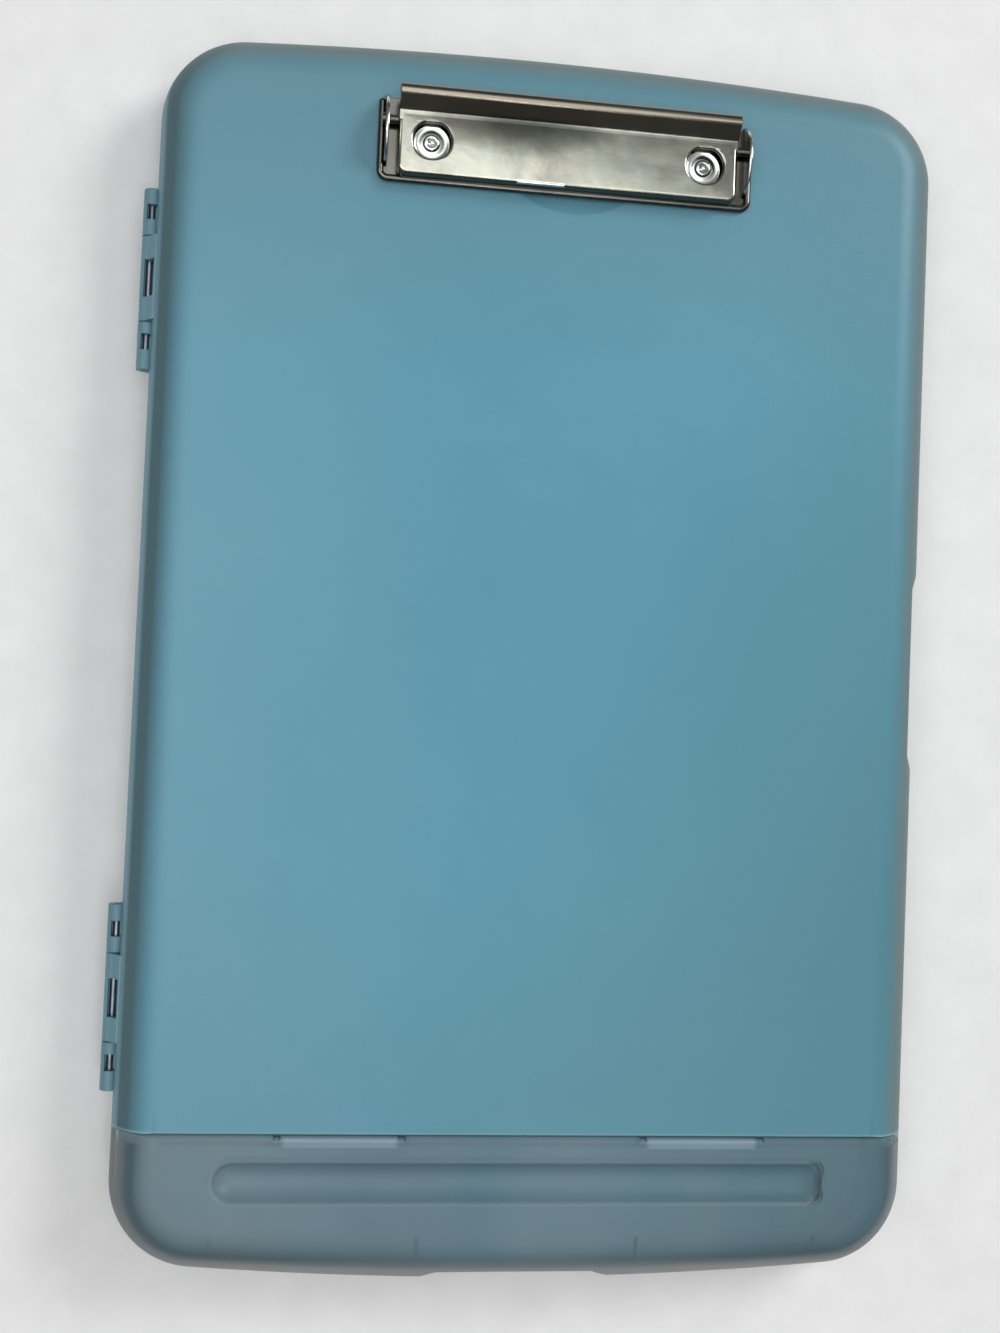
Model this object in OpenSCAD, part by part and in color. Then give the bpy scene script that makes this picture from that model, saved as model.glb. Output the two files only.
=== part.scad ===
/* [Case] */
// Width of the closed case, without the hinge barrels
case_w = 240; // [230:1:260]
// Length of the closed case along its centre line
case_l = 370; // [355:1:390]
// Thickness of the closed case, without the clip
case_t = 28; // [28:0.5:32]
// Wall thickness of the moulded shells
wall = 2.2; // [2:0.1:2.4]
// Plan radius of the four corners
corner_r = 26; // [24:0.5:30]
// Radius that rounds the upper edge of the cover and of the pen lid
top_edge_r = 14; // [13:0.5:14]
// Radius that rounds the lower edge of the tray
bottom_edge_r = 8; // [6:0.5:9]
// How far the end behind the clip bows outwards
clip_end_bow = 4.8; // [3:0.1:6]
// How far the pen lid's end bows outwards
pen_end_bow = 5.8; // [3:0.1:7]

/* [Pen compartment] */
// Length of the pen compartment, from the seam to the end of the case
pen_l = 45; // [44:0.5:50]
// Gap between the cover and the pen lid at the seam
seam_gap = 0.4; // [0.3:0.05:0.6]
// Inset of the pen well's outer wall behind the lid's skirt
pen_inset = 4.2; // [4:0.1:5]
// Height of the pen well's wall above the table
pen_wall_h = 19; // [14:0.5:19]
// Height at which the lid's skirt starts
skirt_z = 5; // [4:0.5:8]
// Left end of the pen groove
groove_x1 = -90.2; // [-94:0.2:-80]
// Right end of the pen groove
groove_x2 = 91.6; // [80:0.2:94]
// Radius of the pen groove's section
groove_r = 6; // [5:0.1:6]
// Depth of the pen groove
groove_depth = 4.5; // [3:0.1:4.5]

/* [Hinges] */
// Distance of the cover's hinge axis outside the case wall
hinge_out = 1.4; // [1.3:0.1:1.6]
// Radius of the hinge barrels
barrel_r = 2.6; // [2.4:0.1:2.7]
// Radius of the two steel hinge pins
pin_r = 1.0; // [0.8:0.05:1.1]
// Middle of the upper hinge along the case
upper_hinge_y = 108.4; // [90:0.2:115]
// Middle of the lower hinge along the case
lower_hinge_y = -103.6; // [-105:0.2:-90]
// Length of the pen lid's two hinge barrels
lid_barrel_l = 34; // [28:1:38]
// Distance of each pen lid barrel from the centre line
lid_barrel_x = 54; // [48:1:60]

/* [Clip] */
// Middle of the clip across the case
clip_x = 0.9; // [-1:0.1:1]
// Half of the clip base's width
clip_hw = 57; // [56.5:0.5:60]
// Half of the jaw plate's width
jaw_hw = 51.2; // [48:0.1:51.4]
// Distance between the two rivets
rivet_pitch = 82.4; // [70:0.2:86]
// Radius of the access holes in the jaw plate
access_r = 5.6; // [5:0.1:6]

/* [Hidden] */

hw = case_w / 2;
hl = case_l / 2;
function bow_r(half, s) = (half * half + s * s) / (2 * s);
r_clip_end = bow_r(hw, clip_end_bow);
r_pen_end = bow_r(hw, pen_end_bow);
split_z = case_t / 2;              // parting height between tray and cover
part_gap = 0.1;                    // half of the gap at the parting line
seam_y = -hl + pen_l;              // nominal seam between cover and pen lid
cover_y = seam_y + seam_gap / 2;   // the cover's edge
lid_y = seam_y - seam_gap / 2;     // the pen lid's edge

hinge_x = -hw - hinge_out;
hinge_len = 54.2;
knuckle_a = 14.1;                  // outer knuckles, on the tray
knuckle_gap = 0.25;
bore_free = 0.05;                  // radial clearance of a turning bore

roll_r = 1.75;                     // rolled edge and barrels of the pen lid
lid_ax_y = lid_y - roll_r;
lid_ax_z = case_t - roll_r;
lid_pin_r = 0.8;
ear_t = 1.7;
ear_gap = 0.2;
ear_r = 1.15;

clip_z = case_t;
rod_y = 157.2;
rod_z = clip_z + 3.3;
rod_r = 1.25;
rivet_y = 151;
sheet = 0.8;
jaw_t = 0.8;
base_y2 = 164.6;                   // rear edge of the clip base
seat_z = 3.1;                      // height of the rivet seats above the cover
jaw_top = clip_z + 6.4;

// Half of a slab's cross-section: w wide, h high, upper corner rounded by
// rt and lower corner by rb.
module half_section(w, h, rt, rb) {
    difference() {
        square([w, h]);
        if (rt > 0) translate([w - rt, h - rt]) difference() {
            square(rt + 1);
            circle(r = rt, $fn = 32);
        }
        if (rb > 0) translate([w - rb, -1]) difference() {
            square(rb + 1);
            translate([0, rb + 1]) circle(r = rb, $fn = 32);
        }
    }
}

// The case's outline as a rounded slab, drawn in by d on every side, from
// height z up by h: round discs at the corners and along both bowed ends,
// wrapped in one smooth shell.
function bow_y(x, R) = hl - R + sqrt(R * R - x * x);
module slab(d, z, h, rt, rb) {
    xc = hw - corner_r;
    rc = corner_r - d;
    translate([0, 0, z]) hull()
        for (i = [-3 : 3]) for (end = [1, -1])
            translate([xc * i / 3, end * (bow_y(xc * i / 3, end > 0 ? r_clip_end : r_pen_end) - corner_r), 0])
                rotate_extrude($fn = 32) half_section(rc, h, rt, rb);
}

// The closed case's outside, and its inside one wall further in.
module outside() slab(0, 0, case_t, top_edge_r, bottom_edge_r);
module inside() slab(wall, wall, case_t - 2 * wall, top_edge_r - wall, bottom_edge_r - wall);

// A box from its lowest to its highest corner.
module span(lo, hi) translate(lo) cube(hi - lo);

// A straight rod along X or along Y between two coordinates.
module rod_x(x1, x2, y, z, r, fn = 48)
    translate([x1, y, z]) rotate([0, 90, 0]) cylinder(r = r, h = x2 - x1, $fn = fn);
module rod_y(y1, y2, x, z, r, fn = 48)
    translate([x, y2, z]) rotate([90, 0, 0]) cylinder(r = r, h = y2 - y1, $fn = fn);

// Shallow thumb relief pressed into an edge; the outline runs from a to b
// along Y on the right side, sunk by d with ramps of length ramp.
module edge_relief(a, b, d, ramp)
    linear_extrude(60, center = true)
        polygon([[hw + 3, a - 3 * ramp / d], [hw - d, a + ramp], [hw - d, b - ramp], [hw + 3, b + 3 * ramp / d]]);

// The same relief as a slanted flat on the cover's rounded shoulder.
module shoulder_relief()
    translate([hw - top_edge_r, 0, split_z]) rotate([0, -23.5, 0]) translate([top_edge_r - hw, 0, 0])
        edge_relief(-28.5, 32.9, 1.0, 4.6);
// Frame on the lid's rounded end: outwards is -Y, tilted up by 20 degrees.
module lid_shoulder() translate([0, -hl + top_edge_r, split_z]) rotate([-20, 0, 0]) children();

// ---- cover hinge -------------------------------------------------------
// Knuckle with its web to the wall; s = -1 hangs it on the tray, 1 on the cover.
module knuckle(y1, y2, s) {
    rod_y(y1, y2, hinge_x, split_z, barrel_r);
    translate([0, y2, split_z]) rotate([90, 0, 0]) linear_extrude(y2 - y1)
        polygon([[hinge_x - 1.0, s * (barrel_r - 0.7)], [-hw + 0.4, s * (barrel_r + 2.6)],
                 [-hw + 1.2, s * (barrel_r + 2.6)], [-hw + 1.2, s * part_gap], [hinge_x, s * part_gap]]);
}
module tray_knuckles(yc, grow = 0)
    for (m = [-1, 1])
        knuckle_span(yc + m * (hinge_len - knuckle_a) / 2, knuckle_a, grow);
module knuckle_span(y, l, grow)
    rod_y(y - l / 2 - grow, y + l / 2 + grow, hinge_x, split_z, barrel_r + grow);
// Moulding windows that leave the pin in sight from above.
module hinge_windows(yc)
    for (w = [[20.0, 4.6], [0, 11.2], [-18.9, 4.8]])
        span([hinge_x - 1.3, yc + w[0] - w[1] / 2, split_z], [-hw + 0.35, yc + w[0] + w[1] / 2, split_z + 6]);

// ---- pen lid hinge -----------------------------------------------------
// Positions of the four ears that carry the lid's two pins.
function ear_spots() = [for (s = [-1, 1], e = [-1, 1])
    s * lid_barrel_x + e * (lid_barrel_l / 2 + ear_gap + ear_t / 2)];
module ear(x) {
    rod_x(x - ear_t / 2, x + ear_t / 2, lid_ax_y, lid_ax_z, ear_r);
    translate([x - ear_t / 2, 0, 0]) rotate([90, 0, 90]) linear_extrude(ear_t)
        polygon([[lid_ax_y - ear_r, lid_ax_z], [lid_ax_y + 0.9, lid_ax_z - 0.3], [cover_y + 0.5, 24.9],
                 [cover_y + 0.5, 16], [cover_y, 16], [lid_ax_y - ear_r, 22.5]]);
}
// The room that an ear needs inside the lid's rolled edge: round the pin, and
// behind it as far as the ear's stem swings when the lid stands open.
module ear_slot(x) {
    w = ear_t / 2 + ear_gap;
    rod_x(x - w, x + w, lid_ax_y, lid_ax_z, ear_r + 0.15);
    translate([x - w, lid_ax_y, lid_ax_z]) rotate([90, 0, 90]) linear_extrude(2 * w)
        polygon([[0, 0], [1.05, 5], [5, 5], [5, -7], [-ear_r - 0.25, -7], [-ear_r - 0.25, 0]]);
}

module base_tray() color([0.33, 0.56, 0.65]) difference() {
    union() {
        // document well with the step wall that closes it towards the pens
        difference() {
            intersection() {
                outside();
                span([-150, cover_y, -1], [150, 200, split_z - part_gap]);
            }
            intersection() {
                inside();
                span([-150, cover_y + wall, 0], [150, 200, 30]);
            }
        }
        // pen well, drawn in behind the lid's skirt
        difference() {
            intersection() {
                slab(pen_inset, 0, pen_wall_h, 0, 5);
                span([-150, -200, -1], [150, cover_y + 0.6, 30]);
            }
            intersection() {
                slab(pen_inset + 1.8, wall, pen_wall_h, 0, 3.2);
                span([-150, -200, 0], [150, cover_y, 40]);
            }
        }
        // divider up to the cover's underside
        intersection() {
            slab(wall + 0.5, 1, case_t - wall - 1.4, top_edge_r - wall - 0.4, 0);
            span([-150, cover_y, 1.5], [150, cover_y + 2, 30]);
        }
        // locating tabs inside the parting line
        for (y = [132, 60, 0, -60]) for (m = [0, 1]) mirror([m, 0, 0]) {
            span([hw - wall - 1.7, y - 14, split_z - 5.4], [hw - wall - 0.4, y + 14, split_z + 2.6]);
            span([hw - wall - 1.7, y - 14, split_z - 5.4], [hw - wall + 0.3, y + 14, split_z - 0.5]);
        }
        for (x = [-62, 0, 62])
            translate([x, bow_y(x, r_clip_end), 0]) rotate([0, 0, -asin(x / r_clip_end)]) {
                span([-15, -wall - 1.8, split_z - 5.4], [15, -wall - 0.5, split_z + 2.6]);
                span([-15, -wall - 1.8, split_z - 5.4], [15, -wall + 0.3, split_z - 0.5]);
            }
        // outer knuckles of both hinges
        for (yc = [upper_hinge_y, lower_hinge_y]) for (m = [-1, 1])
            knuckle(yc + m * (hinge_len - knuckle_a) / 2 - knuckle_a / 2,
                    yc + m * (hinge_len - knuckle_a) / 2 + knuckle_a / 2, -1);
        for (x = ear_spots()) ear(x);
        // two ribs that keep pens off the step wall
        for (x = [-17.7, 18.4])
            span([x - 0.6, cover_y - 2.5, 1.5], [x + 0.6, cover_y + 0.5, 24.1]);
    }
    for (yc = [upper_hinge_y, lower_hinge_y]) {
        // room for the cover's middle knuckle
        rod_y(yc - hinge_len / 2 + knuckle_a, yc + hinge_len / 2 - knuckle_a,
              hinge_x, split_z, barrel_r + 0.3);
        hinge_windows(yc);
        rod_y(yc - hinge_len / 2 - 1, yc + hinge_len / 2 + 1, hinge_x, split_z, pin_r);
    }
    for (s = [-1, 1])
        rod_x(s * lid_barrel_x - lid_barrel_l / 2 - 3, s * lid_barrel_x + lid_barrel_l / 2 + 3,
              lid_ax_y, lid_ax_z, lid_pin_r);
    // thumb relief in the free long side
    translate([0, 0, split_z]) edge_relief(-28.3, 32.8, 1.1, 3.8);
}

module cover() color([0.38, 0.60, 0.69]) difference() {
    union() {
        difference() {
            intersection() {
                outside();
                span([-150, cover_y, split_z + part_gap], [150, 200, 40]);
            }
            inside();
            for (yc = [upper_hinge_y, lower_hinge_y]) tray_knuckles(yc, 0.3);
        }
        for (yc = [upper_hinge_y, lower_hinge_y])
            knuckle(yc - hinge_len / 2 + knuckle_a + knuckle_gap,
                    yc + hinge_len / 2 - knuckle_a - knuckle_gap, 1);
        // stiffening rib behind the seam, and two long ones
        span([-104, cover_y + 4.5, case_t - wall - 3], [104, cover_y + 6, case_t - wall + 0.5]);
        for (x = [-104, 102.5]) span([x, cover_y + 4.5, case_t - wall - 3], [x + 1.5, 168, case_t - wall + 0.5]);
        // snap tongue behind the thumb relief
        span([hw - wall - 3.2, -8, split_z - 1.5], [hw - wall - 1.9, 12, case_t - wall - 2.5]);
        span([hw - wall - 3.2, -8, split_z + 3.6], [hw - wall + 0.4, -6.6, split_z + 6]);
        span([hw - wall - 3.2, 10.6, split_z + 3.6], [hw - wall + 0.4, 12, split_z + 6]);
    }
    // softened edge along the seam
    difference() {
        span([-150, cover_y - 1, case_t - 0.8], [150, cover_y + 0.8, case_t + 1]);
        rod_x(-160, 160, cover_y + 0.8, case_t - 0.8, 0.8);
    }
    for (yc = [upper_hinge_y, lower_hinge_y]) {
        hinge_windows(yc);
        rod_y(yc - hinge_len / 2 - 1, yc + hinge_len / 2 + 1, hinge_x, split_z, pin_r + bore_free);
    }
    // shallow round dish under the clip's jaw
    intersection() {
        translate([3.5, 164.4, case_t]) rotate_extrude($fn = 180)
            polygon([[0, -0.9], [23, -0.9], [30, 0], [30, 1], [0, 1]]);
        span([-40, 130, case_t - 2], [40, 152, case_t + 2]);
    }
    for (s = [-1, 1]) translate([clip_x + s * rivet_pitch / 2, rivet_y, case_t - wall - 1])
        cylinder(r = 1.6, h = 5, $fn = 48);
    translate([0, 0, split_z]) edge_relief(-28.3, 32.8, 1.1, 3.8);
    shoulder_relief();
}

// The pen groove as a solid trough of radius r with a round left end and a
// blunt right end; used for the cut and, larger, for the bulge under it.
module trough(r, zc) {
    x1 = groove_x1 + groove_r - 0.2;
    gy = lid_ax_y - 11.9;
    translate([0, gy, zc]) {
        rod_x(x1, groove_x2 + (r - groove_r), 0, 0, r, 72);
        sphere_cap(x1, r);
    }
}
module sphere_cap(x, r) translate([x, 0, 0]) sphere(r = r, $fn = 72);

module pen_lid() color([0.45, 0.60, 0.68, 0.6]) difference() {
    union() {
        difference() {
            intersection() {
                outside();
                span([-150, -200, skirt_z], [150, lid_y, 40]);
            }
            inside();
        }
        // rolled rear edge, which carries the barrels
        rod_x(-105.5, 105.5, lid_ax_y, lid_ax_z, roll_r);
        // bulge under the pen groove
        intersection() {
            trough(groove_r + 1.9, case_t - groove_depth + groove_r);
            span([-110, -180, 15], [110, lid_y - 2, case_t - 1]);
        }
        // wall behind the thumb relief
        span([-28.5, -hl + wall - 0.6, skirt_z + 0.5], [31, -hl + wall + 1, 19.4]);
        lid_shoulder() span([-27, -top_edge_r + 1.8, -3], [28, -top_edge_r + 2.8, 5.5]);
        // stiffeners between the top and the end wall
        intersection() {
            slab(wall - 0.4, 6, case_t - wall - 5.6, top_edge_r - wall, 0);
            for (x = [-90, -30.4, 35.2, 90]) span([x - 0.6, -hl + 3, 20.5], [x + 0.6, -hl + 15, 27]);
        }
    }
    // rear upper edge rounded about the hinge axis
    difference() {
        span([-150, lid_ax_y, lid_ax_z], [150, lid_ax_y + 5, case_t + 1]);
        rod_x(-160, 160, lid_ax_y, lid_ax_z, roll_r);
    }
    // slots for the ears
    for (x = ear_spots()) ear_slot(x);
    for (s = [-1, 1])
        rod_x(s * lid_barrel_x - lid_barrel_l / 2 - 1, s * lid_barrel_x + lid_barrel_l / 2 + 1,
              lid_ax_y, lid_ax_z, lid_pin_r + bore_free);
    trough(groove_r, case_t - groove_depth + groove_r);
    // thumb relief in the end wall
    linear_extrude(60, center = true)
        polygon([[-29.6, -hl - 3], [-22.1, -hl + 2], [23.9, -hl + 2], [31.9, -hl - 3]]);
    lid_shoulder() linear_extrude(60, center = true)
        polygon([[-41.1, -top_edge_r - 3], [-24, -top_edge_r + 1.5], [23.7, -top_edge_r + 1.5], [42.9, -top_edge_r - 3]]);
}

module hinge_pin_upper() color([0.75, 0.75, 0.76])
    rod_y(upper_hinge_y - hinge_len / 2 + 0.6, upper_hinge_y + hinge_len / 2 - 0.6, hinge_x, split_z, pin_r);
module hinge_pin_lower() color([0.75, 0.75, 0.76])
    rod_y(lower_hinge_y - hinge_len / 2 + 0.6, lower_hinge_y + hinge_len / 2 - 0.6, hinge_x, split_z, pin_r);

module lid_pin(s) color([0.75, 0.75, 0.76])
    rod_x(s * lid_barrel_x - lid_barrel_l / 2 - ear_gap - ear_t + 0.1,
          s * lid_barrel_x + lid_barrel_l / 2 + ear_gap + ear_t - 0.1, lid_ax_y, lid_ax_z, lid_pin_r);
module pen_lid_pin_left() lid_pin(-1);
module pen_lid_pin_right() lid_pin(1);

// ---- clip --------------------------------------------------------------
// Plan of the clip base: square at the rear, round front corners.
module clip_plan(d = 0) {
    x = clip_hw - d;
    y1 = 139.4 + d;
    r = 3.4 - d;
    translate([-x, y1 + r]) square([2 * x, base_y2 - y1 - r]);
    translate([-x + r, y1]) square([2 * (x - r), 10]);
    for (s = [-1, 1]) translate([s * (x - r), y1 + r]) circle(r = r, $fn = 64);
}
// Low rolled rim along the front and both ends.
module clip_rim() {
    r = 1.05;
    x = clip_hw - r;
    y1 = 139.4 + r;
    z = clip_z + 1.05;
    c = 3.4 - r;
    rod_x(-x + c, x - c, y1, z, r, 32);
    for (s = [-1, 1]) {
        rod_y(y1 + c, base_y2 - 1.6, s * x, z, r, 32);
        translate([s * x, base_y2 - 1.6, z]) sphere(r = r, $fn = 32);
    }
    for (m = [0, 1]) mirror([m, 0, 0]) translate([-x + c, y1 + c, z]) rotate([0, 0, 180])
        rotate_extrude(angle = 90, $fn = 64) translate([c, 0]) circle(r = r, $fn = 32);
}
module clip_base_plate() color([0.72, 0.71, 0.69]) translate([clip_x, 0, 0]) difference() {
    union() {
        translate([0, 0, clip_z]) linear_extrude(sheet) clip_plan(0.5);
        clip_rim();
        // arched ears for the pivot rod
        for (s = [-1, 1]) translate([s * 54.6 - 0.5, 0, 0]) intersection() {
            rod_x(0, 1.0, 154.6, clip_z - 1.9, 11.2, 96);
            span([-1, 140, clip_z], [3, 170, clip_z + 12]);
        }
        // pressed seats that lift the rivet heads towards the jaw plate
        for (s = [-1, 1]) translate([s * rivet_pitch / 2, rivet_y, clip_z + 0.1])
            cylinder(r1 = 4.9, r2 = 4.2, h = seat_z - 0.1, $fn = 72);
    }
    for (s = [-1, 1]) translate([s * rivet_pitch / 2, rivet_y, clip_z - 1]) {
        cylinder(r = 1.6, h = 8, $fn = 48);
        cylinder(r1 = 4.35, r2 = 3.4, h = seat_z + 0.2, $fn = 72);
    }
    rod_x(-70, 70, rod_y, rod_z, rod_r);
}

// Section of the jaw plate, seen along -X: front flange, flat panel, step
// and rolled thumb edge.
module jaw_section() {
    t = jaw_t;
    z = jaw_top;
    // front flange and panel
    polygon([[140.55, clip_z + 2.15], [141.35, clip_z + 2.15], [142.1, z - t], [159.5, z - t],
             [163.1, z + 3.0], [162.55, z + 3.5], [158.95, z], [141.2, z], [140.55, z - 0.9]]);
    // rolled edge, curled round until it nearly meets the step again
    translate([164.0, z + 2.1]) difference() {
        circle(r = 2.1, $fn = 64);
        circle(r = 1.2, $fn = 64);
        polygon([[0, 0], [-3, -1.3], [-3, 0.8]]);
    }
}
module clip_jaw_plate() color([0.76, 0.75, 0.73]) translate([clip_x, 0, 0]) difference() {
    union() {
        translate([-jaw_hw, 0, 0]) rotate([90, 0, 90]) linear_extrude(2 * jaw_hw) jaw_section();
        // side flanges, and the lugs on the pivot rod
        for (s = [-1, 1]) translate([s * (jaw_hw - 0.4) - 0.4, 0, 0])
            span([0, 141.0, clip_z + 3.4], [0.8, 159.0, jaw_top - 0.2]);
        for (s = [-1, 1]) translate([s * (jaw_hw - 0.6) - 0.5, 0, 0]) {
            rod_x(0, 1, rod_y, rod_z, 2.4);
            span([0, rod_y - 2.4, rod_z], [1, rod_y + 2.4, jaw_top - 0.3]);
        }
    }
    for (s = [-1, 1]) translate([s * rivet_pitch / 2, rivet_y, clip_z + 3])
        cylinder(r = access_r, h = 6, $fn = 72);
    rod_x(-70, 70, rod_y, rod_z, rod_r + bore_free);
}

module clip_pivot_rod() color([0.6, 0.6, 0.6]) translate([clip_x, 0, 0]) {
    rod_x(-55.15, 55.15, rod_y, rod_z, rod_r);
    for (s = [-1, 1]) translate([s * 55.5 - 0.4, 0, 0]) rod_x(0, 0.8, rod_y, rod_z, 1.8, 32);
}

// Torsion spring: a helix round the rod with one leg on the plate and one
// under the jaw plate.
spring_wire = 0.4;
spring_turns = 9;
spring_mean = 1.8;
spring_pitch = 1.0;
spring_leg = 3.4;
spring_l = (spring_turns - 0.5) * spring_pitch;
function helix_point(i, n) = let (a = 180 + 360 * (spring_turns - 0.5) * i / n)
    [-spring_l / 2 + spring_l * i / n, spring_mean * sin(a), spring_mean * cos(a)];
function spring_path(n) = concat(
    [[-spring_l / 2, spring_leg, -spring_mean]],
    [for (i = [0 : n]) helix_point(i, n)],
    [[spring_l / 2, spring_leg, spring_mean]]);
module sweep(path, r, sides) {
    n = len(path);
    function tangent(i) = let (d = path[min(i + 1, n - 1)] - path[max(i - 1, 0)]) d / norm(d);
    function ring(i) = let (t = tangent(i), u0 = cross(t, [0, 0.31, 0.95]), u = u0 / norm(u0), v = cross(t, u))
        [for (k = [0 : sides - 1]) path[i] + r * (cos(360 * k / sides) * u + sin(360 * k / sides) * v)];
    pts = [for (i = [0 : n - 1]) each ring(i)];
    faces = concat(
        [[for (k = [0 : sides - 1]) k]],
        [for (i = [0 : n - 2], k = [0 : sides - 1]) each [
            [i * sides + k, (i + 1) * sides + k, (i + 1) * sides + (k + 1) % sides],
            [i * sides + k, (i + 1) * sides + (k + 1) % sides, i * sides + (k + 1) % sides]]],
        [[for (k = [sides - 1 : -1 : 0]) (n - 1) * sides + k]]);
    polyhedron(pts, faces);
}
module clip_spring() color([0.5, 0.5, 0.5]) translate([clip_x, rod_y, rod_z])
    sweep(spring_path(136), spring_wire, 8);

// Tubular rivet with a domed head on the clip and a flared end on its washer.
module rivet(s) color([0.82, 0.82, 0.80])
    translate([clip_x + s * rivet_pitch / 2, rivet_y, clip_z]) rotate_extrude($fn = 72)
        polygon([[0.9, seat_z + 0.5], [1.2, seat_z + 0.85], [1.8, seat_z + 1.0], [2.4, seat_z + 0.7], [2.7, seat_z],
                 [1.6, seat_z], [1.6, -wall - 0.8], [2.6, -wall - 0.8], [2.5, -wall - 1.2], [1.7, -wall - 1.5],
                 [1.0, -wall - 1.1], [0.9, -wall]]);
module clip_rivet_left() rivet(-1);
module clip_rivet_right() rivet(1);

module washer(s) color([0.7, 0.7, 0.7])
    translate([clip_x + s * rivet_pitch / 2, rivet_y, clip_z - wall - 0.8]) difference() {
        cylinder(r = 4.5, h = 0.8, $fn = 64);
        translate([0, 0, -1]) cylinder(r = 1.6, h = 3, $fn = 48);
    }
module clip_washer_left() washer(-1);
module clip_washer_right() washer(1);

base_tray();
cover();
pen_lid();
hinge_pin_upper();
hinge_pin_lower();
pen_lid_pin_left();
pen_lid_pin_right();
clip_base_plate();
clip_jaw_plate();
clip_pivot_rod();
clip_spring();
clip_rivet_left();
clip_rivet_right();
clip_washer_left();
clip_washer_right();
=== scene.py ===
import math

import bmesh
import bpy
import numpy as np
from mathutils import Matrix, Vector


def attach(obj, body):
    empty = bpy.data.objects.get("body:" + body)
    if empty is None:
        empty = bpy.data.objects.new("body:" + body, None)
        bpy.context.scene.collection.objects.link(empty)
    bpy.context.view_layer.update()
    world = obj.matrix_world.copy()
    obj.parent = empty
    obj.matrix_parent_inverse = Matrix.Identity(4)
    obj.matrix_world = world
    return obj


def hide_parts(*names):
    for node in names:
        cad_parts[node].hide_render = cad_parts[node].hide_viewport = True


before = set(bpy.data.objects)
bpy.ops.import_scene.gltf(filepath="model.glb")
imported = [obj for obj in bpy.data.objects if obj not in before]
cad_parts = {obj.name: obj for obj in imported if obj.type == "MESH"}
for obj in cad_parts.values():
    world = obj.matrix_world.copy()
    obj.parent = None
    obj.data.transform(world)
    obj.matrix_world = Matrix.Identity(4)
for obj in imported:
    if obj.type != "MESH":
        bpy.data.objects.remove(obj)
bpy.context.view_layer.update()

scene = bpy.context.scene

# ======================================================================
# Mesh kit. Shapes are built in millimetres in the frame of the CAD model
# and scaled to metres when a piece is finished.
# ======================================================================


def new_object(name, verts, faces):
    me = bpy.data.meshes.new(name)
    me.from_pydata([tuple(float(c) for c in v) for v in verts], [], [tuple(int(i) for i in f) for f in faces])
    bm = bmesh.new()
    bm.from_mesh(me)
    bmesh.ops.remove_doubles(bm, verts=bm.verts, dist=2e-5)
    bmesh.ops.recalc_face_normals(bm, faces=bm.faces)
    bm.to_mesh(me)
    bm.free()
    ob = bpy.data.objects.new(name, me)
    scene.collection.objects.link(ob)
    return ob


def loft(name, rings, closed=False):
    """Quads between successive closed rings of equal length, ends capped."""
    n = len(rings[0])
    verts = np.concatenate([np.asarray(r, float) for r in rings])
    faces = []
    m = len(rings)
    for i in range(m if closed else m - 1):
        a, b = i * n, ((i + 1) % m) * n
        for j in range(n):
            k = (j + 1) % n
            faces.append((a + j, a + k, b + k, b + j))
    if not closed:
        faces.append(tuple(range(n))[::-1])
        faces.append(tuple(range((m - 1) * n, m * n)))
    return new_object(name, verts, faces)


def span(lo, hi):
    (x0, y0, z0), (x1, y1, z1) = lo, hi
    v = [(x0, y0, z0), (x1, y0, z0), (x1, y1, z0), (x0, y1, z0), (x0, y0, z1), (x1, y0, z1), (x1, y1, z1), (x0, y1, z1)]
    f = [(0, 3, 2, 1), (4, 5, 6, 7), (0, 1, 5, 4), (1, 2, 6, 5), (2, 3, 7, 6), (3, 0, 4, 7)]
    return new_object("tool", v, f)


def prism(points, axis, lo, hi):
    """A polygon pushed along an axis: points are (y, z) for x, (x, z) for y and (x, y) for z."""
    def at(p, t):
        return {"x": (t, p[0], p[1]), "y": (p[0], t, p[1]), "z": (p[0], p[1], t)}[axis]
    return loft("tool", [[at(p, lo) for p in points], [at(p, hi) for p in points]])


def circle(cx, cy, r, n=64, a0=0.0, a1=360.0, ends=False):
    steps = n + 1 if ends else n
    return [(cx + r * math.cos(math.radians(a0 + (a1 - a0) * i / n)), cy + r * math.sin(math.radians(a0 + (a1 - a0) * i / n))) for i in range(steps)]


def rod(axis, lo, hi, u, v, r, n=64, soft=0.0):
    """A round bar along an axis, with its ends rounded by soft."""
    stations = [(lo, r), (hi, r)]
    if soft > 0:
        k = 4
        arc = [(soft * (1 - math.sin(math.pi / 2 * i / k)), soft * (1 - math.cos(math.pi / 2 * i / k))) for i in range(k + 1)]
        stations = [(lo + s, r - d) for s, d in reversed(arc)] + [(hi - s, r - d) for s, d in arc]
    rings = []
    for t, q in stations:
        c = circle(u, v, q, n)
        rings.append([{"x": (t, a, b), "y": (a, t, b), "z": (a, b, t)}[axis] for a, b in c])
    return loft("tool", rings)


def lathe(profile, centre, n=96, closed=True):
    """Turns a closed (r, z) outline round the Z axis through centre."""
    cx, cy, cz = centre
    rings = [[(cx + r * math.cos(2 * math.pi * j / n), cy + r * math.sin(2 * math.pi * j / n), cz + z) for j in range(n)] for r, z in profile]
    return loft("tool", rings, closed=closed)


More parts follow.
